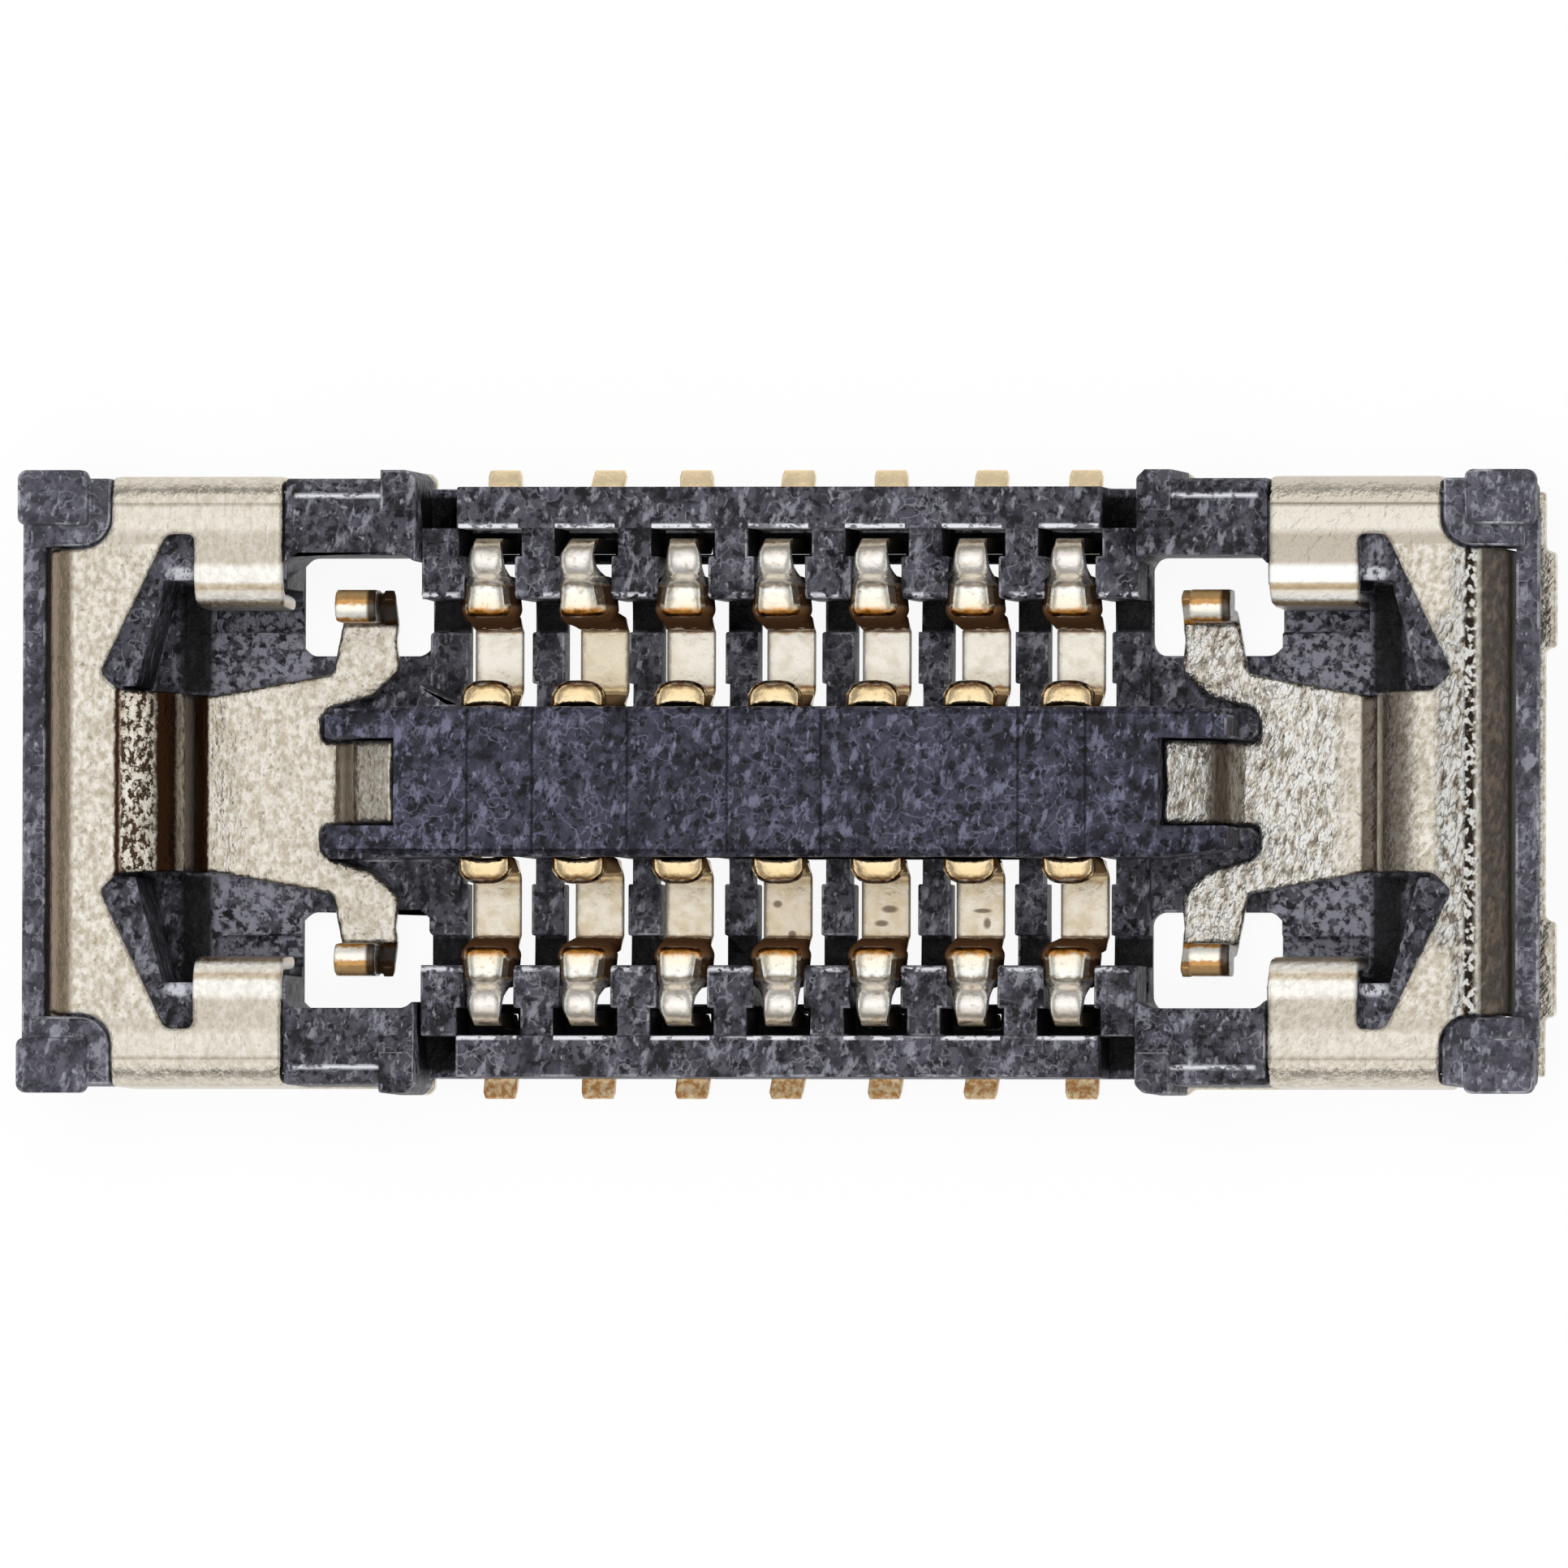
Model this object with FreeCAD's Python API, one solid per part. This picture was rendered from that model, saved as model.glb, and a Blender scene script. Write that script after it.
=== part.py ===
import FreeCAD, Part
import math
import os

# Low-profile board-to-board receptacle of the kind that joins a flexible circuit to a main board.
# Millimetres. X runs along the contact rows, Y across them and Z up from the circuit board.
# The origin is the centre of the footprint, on the board's face.

# Contact rows
pitch = 0.35
contacts_per_row = 7

# Sheet and fits
contact_sheet = 0.05
fitting_sheet = 0.05
fit_gap = 0.008

# Contact widths
tail_width = 0.12
neck_width = 0.085
barb_width = 0.15
bump_width = 0.118
plate_width = 0.147
inner_bump_width = 0.175

# Contact stations across the row, from the wall of the mating cavity or of the island
tail_reach = 0.072
riser_to_pocket_end = 0.06
barb_in_wall = 0.105
barb_length = 0.045
neck_dip_in_wall = 0.075
bump_in_wall = 0.042
bump_past_wall = 0.031
leg_past_wall = 0.096
inner_leg_off_island = 0.025
inner_bump_reach = 0.035
inner_tip_back = 0.01

# Contact levels, at the middle of the sheet
contact_plate_z = 0.085
neck_z = 0.475
neck_dip = 0.04
inner_bump_z = 0.40
inner_bump_rise = 0.07
inner_tip_rise = 0.055
contact_bend = 0.045

# Housing, across the connector
island_half_width = 0.27
cavity_half_width = 0.656
pocket_depth = 0.254
pocket_outer_depth = 0.10
back_wall = 0.148
end_wall_step = 0.029
post_proud = 0.03
groove_width = 0.111
collar_width = 0.244
post_width = 0.197
small_post_width = 0.117
window_past_wall = 0.156
window_before_wall = 0.196
cavity_corner_step = 0.028

# Housing, along the rows
signal_wall_margin = 0.113
step_length = 0.141
comb_margin = 0.155
pocket_outer_width = 0.232
pocket_inner_width = 0.182
slot_width = 0.232
slot_flare = 0.016
slot_flare_length = 0.09
slot_ledge = 0.02
island_recess = 0.05
gusset_length = 0.16
gusset_width = 0.085

# Housing ends, measured outward from the end walls
end_block_length = 1.44
window_length = 0.471
window_chamfer = 0.03
small_post_length = 0.126
island_end_length = 0.327
prong_tip_length = 0.066
prong_width = 0.12
island_taper = 0.03
island_taper_length = 0.25

# Housing ends, measured inward from the outer end face
collar_length = 0.334
collar_radius = 0.11
post_length = 0.254
post_radius = 0.035
beam_width = 0.084
beam_undercut = 0.045
cavity_end = 0.424
cavity_corner_in = 0.10
band_recess_end = 0.375

# Housing levels
standoff = 0.02
groove_floor_z = 0.06
floor_z = 0.15
pocket_floor_z = 0.10
comb_z = 0.43
comb_round = 0.03
prong_tip_z = 0.17
island_z = 0.53
island_edge = 0.03
island_cover = 0.045
signal_wall_z = 0.47
step_z = 0.16
end_wall_z = 0.54
end_wall_round = 0.045
post_z = 0.56
small_post_z = 0.55
collar_z = 0.53
beam_z = 0.42
beam_height = 0.15
beam_lip_z = 0.385
post_lip_z = 0.49
gusset_z = 0.47

# End fitting, along the rows from the outer end face of the housing
fitting_leg = 0.134
fitting_foot = 0.024
fitting_tab_out = 0.016
band_top = 0.559
band_slope = 0.015
opening_reach = 0.301
opening_lead = 0.06
opening_inner = 0.215
opening_apex_length = 0.10

# End fitting, across the connector
side_leg_in = 0.017
foot_in = 0.037
tab_length = 0.345
rail_out = 0.022
band_half_width = 0.335
band_spread = 0.017
opening_apex_in = 0.185
opening_corner_out = 0.055
arm_plate_out = 0.061
arm_root_out = 0.071
finger_rise_in = 0.056
finger_fall_out = 0.012
side_lip_lean = 0.012
lip_gap = 0.012

# End fitting, levels
fitting_top_z = 0.53
fitting_floor_z = 0.115
finger_top_z = 0.355
finger_lip_z = 0.21
side_lip_z = 0.20
tongue_knee_z = 0.35
tongue_end_z = 0.425
rail_height = 0.05

# End fitting, radii at the middle of the sheet
fitting_bend = 0.07
foot_bend = 0.05
side_bend = 0.065
side_inner_bend = 0.085
band_top_bend = 0.17
band_foot_bend = 0.08
tongue_bend = 0.05
finger_bend = 0.034
opening_radius = 0.03
opening_apex_radius = 0.04
arm_radius = 0.06
prong_notch_radius = 0.03

# End fitting, spring arms and tongue, measured outward from the end walls
arm_inner = 0.112
arm_outer = 0.336
arm_flare = 0.02
ear_gap = 0.006
ear_rise = 0.09
finger_inner = 0.168
finger_width = 0.148
tongue_end = 0.086
tongue_knee = 0.225
tongue_root = 0.32
tongue_hollow = 0.012

# Stations along the rows
row_half = pitch * (contacts_per_row - 1) / 2
signal_end = row_half + signal_wall_margin
comb_end = row_half + pocket_inner_width / 2 + comb_margin
end_wall_x = signal_end + step_length
window_end = end_wall_x + window_length
island_end = end_wall_x + island_end_length
prong_end = island_end + prong_tip_length
flange_start = window_end + fit_gap
rail_end_x = end_wall_x - fit_gap
arm_inner_x = end_wall_x + arm_inner
arm_outer_x = end_wall_x + arm_outer
tongue_tip_x = end_wall_x + tongue_end
body_end = end_wall_x + end_block_length
collar_x = body_end - collar_length
flange_end = collar_x - fit_gap
cavity_x = body_end - cavity_end
band_recess_x = body_end - band_recess_end
band_top_x = body_end - band_top
band_foot_x = band_top_x - band_slope
pit_x = band_foot_x - band_foot_bend
opening_inner_x = cavity_x - opening_inner
leg_x = body_end - fitting_leg
leg_inner_wall = leg_x - fitting_sheet / 2 - fit_gap
top_end_x = leg_x - fitting_bend

# Stations across the connector
tongue_half_width = island_half_width - prong_width
inner_leg_y = island_half_width + inner_leg_off_island
arm_root_y = island_half_width + arm_root_out
arm_plate_y = band_half_width + arm_plate_out
outer_leg_y = cavity_half_width - leg_past_wall
bump_inner_y = cavity_half_width - bump_past_wall
bump_outer_y = cavity_half_width + bump_in_wall
neck_dip_y = cavity_half_width + neck_dip_in_wall
barb_y = cavity_half_width + barb_in_wall
finger_rise_y = cavity_half_width - finger_rise_in
finger_fall_y = cavity_half_width + finger_fall_out
window_inner_y = cavity_half_width - window_before_wall
window_outer_y = cavity_half_width + window_past_wall
lip_wall_y = cavity_half_width + fitting_sheet / 2 + lip_gap
cavity_corner_y = lip_wall_y + cavity_corner_step
pocket_y = cavity_half_width + pocket_depth
slot_end_y = pocket_y - pocket_outer_depth
riser_y = pocket_y - riser_to_pocket_end
signal_y = pocket_y + back_wall
tail_y = signal_y + tail_reach
end_y = signal_y + end_wall_step
post_y = end_y + post_proud
side_leg_y = end_y - side_leg_in
leg_wall_y = side_leg_y - fitting_sheet / 2 - fit_gap
collar_y = end_y - collar_width
flange_half_width = collar_y - fit_gap
foot_half_width = end_y - foot_in
tab_inner_y = flange_half_width - tab_length
opening_apex_y = side_leg_y - opening_apex_in
opening_corner_y = band_half_width + opening_corner_out

# Levels
seat_z = fitting_top_z - fitting_sheet / 2
plate_seat_z = fitting_floor_z - fitting_sheet / 2
foot_clear_z = rail_height + fit_gap
far = 2 * (body_end + post_y)

ALONG_X = FreeCAD.Vector(1, 0, 0)
ALONG_Y = FreeCAD.Vector(0, 1, 0)
ALONG_Z = FreeCAD.Vector(0, 0, 1)
ORIGIN = FreeCAD.Vector(0, 0, 0)


def in_plan(z):
    return lambda u, v: FreeCAD.Vector(u, v, z)


def in_cross_section(x):
    return lambda u, v: FreeCAD.Vector(x, u, v)


def in_long_section(y):
    return lambda u, v: FreeCAD.Vector(u, y, v)


def bend_at(before, corner, after):
    """Tangent points, normals, centre and inward direction of the round at one corner of a path."""
    (x0, y0), (x1, y1, radius), (x2, y2) = before[:2], corner, after[:2]
    run_in, run_out = math.hypot(x1 - x0, y1 - y0), math.hypot(x2 - x1, y2 - y1)
    d_in = ((x1 - x0) / run_in, (y1 - y0) / run_in)
    d_out = ((x2 - x1) / run_out, (y2 - y1) / run_out)
    turn = math.atan2(d_in[0] * d_out[1] - d_in[1] * d_out[0], d_in[0] * d_out[0] + d_in[1] * d_out[1])
    back = radius * math.tan(abs(turn) / 2)
    side = 1 if turn > 0 else -1
    start = (x1 - d_in[0] * back, y1 - d_in[1] * back)
    end = (x1 + d_out[0] * back, y1 + d_out[1] * back)
    centre = (start[0] - side * d_in[1] * radius, start[1] + side * d_in[0] * radius)
    reach = math.hypot(d_in[0] - d_out[0], d_in[1] - d_out[1])
    outward = ((d_in[0] - d_out[0]) / reach, (d_in[1] - d_out[1]) / reach)
    return start, end, d_in, d_out, centre, outward, side


def wire_of(segments, place):
    edges = []
    for segment in segments:
        points = [place(*point) for point in segment]
        if len(points) == 2:
            edges.append(Part.LineSegment(*points).toShape())
        else:
            edges.append(Part.Arc(*points).toShape())
    return Part.Wire(edges)


def outline(corners, place):
    """Face inside a closed outline of (u, v) or (u, v, radius) corners."""
    segments = []
    rounds = []
    count = len(corners)
    for i, corner in enumerate(corners):
        if len(corner) == 2:
            rounds.append((corner, corner, None))
            continue
        start, end, _, _, centre, outward, _ = bend_at(corners[i - 1], corner, corners[(i + 1) % count])
        middle = tuple(centre[k] + outward[k] * corner[2] for k in (0, 1))
        rounds.append((start, end, middle))
    for i, (start, end, middle) in enumerate(rounds):
        if middle:
            segments.append((start, middle, end))
        following = rounds[(i + 1) % count][0]
        if math.dist(end, following) > 1e-7:
            segments.append((end, following))
    return Part.Face(wire_of(segments, place))


def ribbon(path, thickness, place):
    """Section of a bent sheet along its middle line, with (u, v) folds and (u, v, radius) bends."""
    half = thickness / 2
    sides = []
    for sign in (1, -1):
        segments = []
        last = beside(path[0], path[0], path[1], sign * half)
        for before, corner, after in zip(path, path[1:], path[2:]):
            radius = corner[2] if len(corner) == 3 else 0
            start, end, d_in, d_out, centre, outward, side = bend_at(before, corner[:2] + (radius,), after)
            if radius:
                near = beside(start, before, corner, sign * half)
                reach = radius - sign * side * half
                middle = tuple(centre[k] + outward[k] * reach for k in (0, 1))
                segments.append((last, near))
                last = beside(end, corner, after, sign * half)
                segments.append((near, middle, last))
            else:
                lean = math.tan(math.atan2(d_in[0] * d_out[1] - d_in[1] * d_out[0],
                                           d_in[0] * d_out[0] + d_in[1] * d_out[1]) / 2)
                square = beside(corner, before, corner, sign * half)
                fold = tuple(square[k] - sign * half * lean * d_in[k] for k in (0, 1))
                segments.append((last, fold))
                last = fold
        segments.append((last, beside(path[-1], path[-2], path[-1], sign * half)))
        sides.append(segments)
    left, right = sides
    back = [tuple(reversed(segment)) for segment in reversed(right)]
    loop = left + [(left[-1][-1], back[0][0])] + back + [(back[-1][-1], left[0][0])]
    return Part.Face(wire_of([s for s in loop if math.dist(s[0], s[-1]) > 1e-7], place))


def beside(point, run_from, run_to, offset):
    """The point moved sideways off a run, to its left where the offset is positive."""
    dx, dy = run_to[0] - run_from[0], run_to[1] - run_from[1]
    run = math.hypot(dx, dy)
    return point[0] - offset * dy / run, point[1] + offset * dx / run


def prism(corners, low, high):
    return outline(corners, in_plan(low)).extrude(ALONG_Z * (high - low))


def block(x0, x1, y0, y1, z0, z1):
    return Part.makeBox(x1 - x0, y1 - y0, z1 - z0, FreeCAD.Vector(x0, y0, z0))


def both_sides(shape):
    return [shape, shape.mirror(ORIGIN, ALONG_Y)]


def both_across(shapes):
    return [copy for shape in shapes for copy in both_sides(shape)]


def both_ends(shapes):
    return shapes + [turned(shape) for shape in shapes]


def contact():
    """One spring contact of the positive-Y row: tail, riser, neck, outer bump, plate and inner bump."""
    section = ribbon([
        (tail_y, contact_sheet / 2),
        (riser_y, contact_sheet / 2),
        (riser_y, neck_z, contact_bend),
        (neck_dip_y, neck_z - neck_dip),
        (bump_outer_y, neck_z),
        (bump_inner_y, neck_z),
        (outer_leg_y, contact_plate_z, contact_bend),
        (inner_leg_y, contact_plate_z, contact_bend),
        (inner_leg_y, inner_bump_z - inner_bump_rise),
        (inner_leg_y + inner_bump_reach, inner_bump_z),
        (inner_leg_y - inner_tip_back, inner_bump_z + inner_tip_rise),
    ], contact_sheet, in_cross_section(-pitch))
    strip = section.extrude(ALONG_X * 2 * pitch)
    plate_end_y = inner_leg_y + inner_bump_reach + contact_bend
    half_plan = [
        (tail_width / 2, tail_y + contact_sheet),
        (tail_width / 2, riser_y + contact_sheet / 2),
        (neck_width / 2, riser_y + contact_sheet / 2),
        (neck_width / 2, barb_y + barb_length / 2),
        (barb_width / 2, barb_y),
        (neck_width / 2, barb_y - barb_length / 2),
        (bump_width / 2, bump_outer_y),
        (bump_width / 2, bump_inner_y),
        (plate_width / 2, outer_leg_y + contact_bend),
        (plate_width / 2, plate_end_y),
        (inner_bump_width / 2, plate_end_y - contact_bend),
        (inner_bump_width / 2, inner_leg_y - contact_sheet),
    ]
    other_half = [(-x, y) for x, y in reversed(half_plan)]
    return strip.common(prism(half_plan + other_half, -far, far))


def mirrored(corners):
    return [(x, -y) + tuple(radius) for x, y, *radius in reversed(corners)]


def fitting_plan():
    """Plan of the fitting's end strip, from the solder foot over the end wall to the tongue."""
    foot_x = body_end - fitting_foot
    foot_inner_x = leg_x + fitting_sheet
    half = [
        (foot_x, tab_inner_y),
        (body_end + fitting_tab_out, tab_inner_y),
        (body_end + fitting_tab_out, flange_half_width),
        (foot_x, flange_half_width),
        (foot_x, foot_half_width),
        (foot_inner_x, foot_half_width),
        (foot_inner_x, flange_half_width),
        (top_end_x, flange_half_width),
        (top_end_x, band_half_width),
        (pit_x, band_half_width - band_spread),
        (window_end, arm_plate_y - arm_flare),
        (prong_end, arm_plate_y - arm_flare),
        (prong_end, tongue_half_width),
        (tongue_tip_x, tongue_half_width),
    ]
    return [(foot_x, 0)] + half + [(tongue_tip_x + tongue_hollow, 0)] + mirrored(half)


def arm():
    """Flat spring arm beside the island, cut out round the housing's prong tip."""
    return prism([
        (window_end, tongue_half_width),
        (window_end, arm_plate_y - arm_flare),
        (arm_outer_x + arm_flare, arm_plate_y),
        (arm_outer_x - arm_flare, finger_rise_y),
        (arm_inner_x + arm_flare, finger_rise_y),
        (arm_inner_x, arm_root_y + arm_radius, arm_radius),
        (arm_inner_x + 1.6 * arm_radius, arm_root_y - arm_radius / 2),
        (prong_end - prong_tip_length / 2, island_half_width),
        (prong_end, island_half_width - prong_notch_radius),
        (prong_end, tongue_half_width),
    ], plate_seat_z, plate_seat_z + fitting_sheet)


def opening_plan():
    """The triangular opening over one corner wedge of the housing."""
    opening_end_x = body_end - opening_reach
    return [
        (opening_inner_x, opening_apex_y),
        (opening_inner_x + opening_apex_length, opening_apex_y, opening_apex_radius),
        (opening_end_x, opening_corner_y, opening_radius),
        (opening_end_x - opening_lead, band_half_width),
        (opening_inner_x, band_half_width),
    ]


def top_plate():
    """Flat top of the fitting on one side of the centre line, with its triangular opening."""
    corners = [
        (top_end_x, band_half_width),
        (top_end_x, flange_half_width),
        (flange_end, flange_half_width, collar_radius),
        (flange_end, side_leg_y - side_bend),
        (opening_inner_x, side_leg_y - side_bend),
        (opening_inner_x, band_half_width),
    ]
    plate = prism(corners, seat_z, seat_z + fitting_sheet)
    return plate.cut(prism(opening_plan(), -far, far))


def side_flange():
    """Side of the fitting: inner lip, flat top, outer bend, leg and the rail to its solder foot."""
    section = ribbon([
        (side_leg_y, 0),
        (side_leg_y, fitting_top_z, side_bend),
        (cavity_half_width, fitting_top_z, side_inner_bend),
        (cavity_half_width - side_lip_lean, side_lip_z),
    ], fitting_sheet, in_cross_section(flange_start))
    flange = section.extrude(ALONG_X * (flange_end - flange_start))
    beyond_lip = block(opening_inner_x, body_end, 0, opening_apex_y, 0, seat_z)
    flange = flange.cut([beyond_lip, prism(opening_plan(), -far, far)])
    inner_y, outer_y = side_leg_y - fitting_sheet / 2, side_leg_y + fitting_sheet / 2
    foot_end_x = end_wall_x + small_post_length
    rail = block(rail_end_x, flange_end, inner_y, outer_y, 0, rail_height)
    foot = prism([
        (rail_end_x, inner_y), (rail_end_x, outer_y), (rail_end_x + rail_out, outer_y + rail_out),
        (foot_end_x, outer_y + rail_out), (foot_end_x + rail_out, outer_y), (foot_end_x + rail_out, inner_y),
    ], 0, rail_height)
    return flange.fuse([rail, foot])


def finger():
    """Plated spring finger that rises at the tip of one arm and folds over."""
    section = ribbon([
        (finger_rise_y - arm_radius, fitting_floor_z),
        (finger_rise_y, fitting_floor_z, finger_bend),
        (finger_rise_y, finger_top_z, finger_bend),
        (finger_fall_y, finger_top_z, finger_bend),
        (finger_fall_y, finger_lip_z),
    ], fitting_sheet, in_cross_section(end_wall_x + finger_inner))
    return section.extrude(ALONG_X * finger_width)


def ear():
    """Narrow tab that leans up beside the finger."""
    section = ribbon([
        (finger_rise_y - arm_radius, fitting_floor_z),
        (finger_rise_y - fitting_sheet / 2, fitting_floor_z),
        (finger_fall_y + fitting_sheet / 4, fitting_floor_z + ear_rise),
    ], fitting_sheet, in_cross_section(arm_inner_x + ear_gap))
    return section.extrude(ALONG_X * (finger_inner - arm_inner - 2 * ear_gap))


def fitting():
    """The stamped end fitting at the positive-X end: one sheet, bent over the housing's end."""
    long_section = ribbon([
        (body_end + fitting_tab_out, fitting_sheet / 2),
        (leg_x, fitting_sheet / 2, foot_bend),
        (leg_x, fitting_top_z, fitting_bend),
        (band_top_x, fitting_top_z, band_top_bend),
        (band_foot_x, fitting_floor_z, band_foot_bend),
        (end_wall_x + tongue_root, fitting_floor_z, tongue_bend),
        (end_wall_x + tongue_knee, tongue_knee_z, tongue_bend),
        (tongue_tip_x, tongue_end_z),
    ], fitting_sheet, in_long_section(-end_y))
    strip = long_section.extrude(ALONG_Y * 2 * end_y)
    strip = strip.common(prism(fitting_plan(), -far, far))
    sides = both_across([top_plate(), side_flange(), arm(), finger(), ear()])
    return strip.multiFuse(sides).removeSplitter()


def island():
    """Centre island: a bar with rounded top edges, tapering at each end, on low rounded prong tips."""
    half = island_half_width
    section = outline([
        (-half, standoff), (half, standoff), (half, island_z, island_edge), (-half, island_z, island_edge),
    ], in_cross_section(-island_end))
    bar = section.extrude(ALONG_X * 2 * island_end)
    narrow = half - island_taper
    taper_x = island_end - island_taper_length
    cheeks = [(island_end, narrow), (taper_x, half), (-taper_x, half), (-island_end, narrow)]
    bar = bar.common(prism(cheeks + mirrored(cheeks), standoff, far))
    tip = prism([
        (tongue_tip_x, tongue_half_width), (prong_end - prong_tip_length / 2, tongue_half_width),
        (prong_end, tongue_half_width + prong_notch_radius), (prong_end, half - prong_notch_radius),
        (prong_end - prong_tip_length / 2, half), (tongue_tip_x, half),
    ], standoff, prong_tip_z)
    return [bar] + both_ends(both_sides(tip))


def comb_row():
    """Comb of ribs between the contacts, with its inner top edge rounded."""
    section = outline([
        (cavity_half_width, standoff), (pocket_y, standoff), (pocket_y, comb_z),
        (cavity_half_width, comb_z, comb_round),
    ], in_cross_section(-comb_end))
    return section.extrude(ALONG_X * 2 * comb_end)


def end_wall():
    """Tall bare wall beside a spring arm, with its outer top edge rounded."""
    section = outline([
        (cavity_half_width, standoff), (end_y, standoff), (end_y, end_wall_z, end_wall_round),
        (cavity_half_width, end_wall_z),
    ], in_cross_section(end_wall_x))
    return section.extrude(ALONG_X * window_length)


def cavity_corner():
    """Outline of the cavity's end on one side, slanted at the corner and recessed for the band."""
    return [
        (band_recess_x, 0), (band_recess_x, band_half_width + fit_gap), (cavity_x, band_half_width + fit_gap),
        (cavity_x - cavity_corner_in, cavity_corner_y), (opening_inner_x, cavity_corner_y),
        (opening_inner_x, lip_wall_y), (window_end, lip_wall_y), (window_end, 0),
    ]


def seat_wall():
    """Wall that carries the fitting's flat top, with its edges rounded where the sheet bends over them."""
    outer_round = side_bend - fitting_sheet / 2
    inner_round = side_inner_bend - fitting_sheet / 2
    end_round = fitting_bend - fitting_sheet / 2
    under_lip = outline([
        (lip_wall_y, standoff), (leg_wall_y, standoff), (leg_wall_y, seat_z, outer_round),
        (lip_wall_y, seat_z, inner_round),
    ], in_cross_section(window_end)).extrude(ALONG_X * (opening_inner_x - window_end))
    across = outline([
        (0, standoff), (leg_wall_y, standoff), (leg_wall_y, seat_z, outer_round), (0, seat_z),
    ], in_cross_section(opening_inner_x)).extrude(ALONG_X * (leg_inner_wall - opening_inner_x))
    along = outline([
        (opening_inner_x, standoff), (leg_inner_wall, standoff), (leg_inner_wall, seat_z, end_round),
        (opening_inner_x, seat_z),
    ], in_long_section(0)).extrude(ALONG_Y * end_y)
    return across.common(along).cut(prism(cavity_corner(), standoff, far)).fuse(under_lip)


def corner_post():
    """Corner post on its collar, standing through the notch at the fitting's corner."""
    collar_out_x = body_end - beam_undercut
    collar = prism([
        (collar_x, collar_y, collar_radius), (collar_out_x, collar_y),
        (collar_out_x, end_y), (collar_x, end_y),
    ], foot_clear_z, collar_z)
    inner_x, inner_y = body_end - post_length, post_y - post_width
    post = prism([
        (inner_x, inner_y), (body_end, inner_y), (body_end, post_y, post_radius), (inner_x, post_y),
    ], post_lip_z, post_z)
    return collar.fuse(post)


def small_post():
    """Short post that stands proud of the side wall at the inner end of the bare wall."""
    return prism([
        (end_wall_x, end_y - small_post_width), (end_wall_x + small_post_length, end_y - small_post_width),
        (end_wall_x + small_post_length, post_y), (end_wall_x + post_proud, post_y), (end_wall_x, end_y),
    ], foot_clear_z, small_post_z)


def beam():
    """Bar across the end, outside the fitting's leg, between the two corner posts."""
    half_length = collar_y + collar_radius
    beam_x = body_end - beam_width
    section = outline([
        (beam_x, beam_z - beam_height), (body_end - beam_undercut, beam_z - beam_height),
        (body_end, beam_lip_z), (body_end, beam_z), (beam_x, beam_z),
    ], in_long_section(-half_length))
    return section.extrude(ALONG_Y * 2 * half_length)


def housing_body():
    """Base slab and the walls that rise from it."""
    slab = block(-leg_inner_wall, leg_inner_wall, -signal_y, signal_y, standoff, plate_seat_z)
    floor = block(-end_wall_x, end_wall_x, -pocket_y, pocket_y, standoff, floor_z)
    back = block(-signal_end, signal_end, pocket_y, signal_y, standoff, signal_wall_z)
    step = block(-end_wall_x, end_wall_x, cavity_half_width, signal_y, standoff, step_z)
    rows = both_across([back, step, comb_row()])
    ends = both_ends([beam()] + both_across([end_wall(), seat_wall(), corner_post(), small_post()]))
    return slab.multiFuse([floor] + island() + rows + ends)


def contact_cuts(x):
    """Slot, pocket and tail notch of one contact of the positive-Y row."""
    def across(width, y0, y1, z0, z1):
        return block(x - width / 2, x + width / 2, y0, y1, z0, z1)

    notch_width = tail_width + 2 * fit_gap
    riser_reach = contact_sheet / 2 + fit_gap
    flare_width = slot_width + 2 * slot_flare
    recess_y = island_half_width - island_recess
    return [
        across(slot_width, island_half_width, cavity_half_width, -far, far),
        across(flare_width, island_half_width, island_half_width + slot_flare_length, -far, far),
        across(slot_width, recess_y, island_half_width, -far, island_z - island_cover),
        across(pocket_inner_width, cavity_half_width, slot_end_y - slot_ledge, -far, far),
        across(pocket_inner_width, cavity_half_width, slot_end_y, pocket_floor_z, far),
        across(pocket_outer_width, slot_end_y, pocket_y, pocket_floor_z, far),
        across(notch_width, riser_y - riser_reach, riser_y + riser_reach, -far, pocket_floor_z),
        across(notch_width, riser_y + riser_reach, far, -far, contact_sheet + fit_gap),
    ]


def end_cuts():
    """Window, floor groove, leg channels and tongue notch at one end and one side."""
    window_corners = [
        (end_wall_x, window_inner_y), (window_end, window_inner_y),
        (window_end, window_outer_y), (end_wall_x, window_outer_y),
    ]
    window = prism(chamfered(window_corners, window_chamfer), -far, far)
    groove = block(0, pit_x, cavity_half_width - groove_width, cavity_half_width, groove_floor_z, floor_z)
    side_channel = block(window_end, collar_x, leg_wall_y, far, -far, far)
    rail_channel = block(rail_end_x - fit_gap, collar_x, leg_wall_y, far, -far, foot_clear_z)
    notch = block(tongue_tip_x - fit_gap, far, 0, tongue_half_width + fit_gap, plate_seat_z, far)
    notch = notch.common(block(0, prong_end, 0, far, 0, far))
    return [window, groove, side_channel, rail_channel, notch]


def chamfered(corners, size):
    """The outline with each right-angled corner cut off by the given size."""
    cut = []
    for i, (x, y) in enumerate(corners):
        for x_next, y_next in (corners[i - 1], corners[(i + 1) % len(corners)]):
            run = math.hypot(x_next - x, y_next - y)
            cut.append((x + size * (x_next - x) / run, y + size * (y_next - y) / run))
    return cut


def gusset():
    """Small triangular web on the island beside the first contact."""
    inner_x = row_half + inner_bump_width / 2 + fit_gap
    root_y = island_half_width - island_edge
    return prism([
        (-inner_x - gusset_length, root_y), (-inner_x, root_y),
        (-inner_x, island_half_width), (-inner_x - gusset_length, island_half_width + gusset_width),
    ], standoff, gusset_z)


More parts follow.
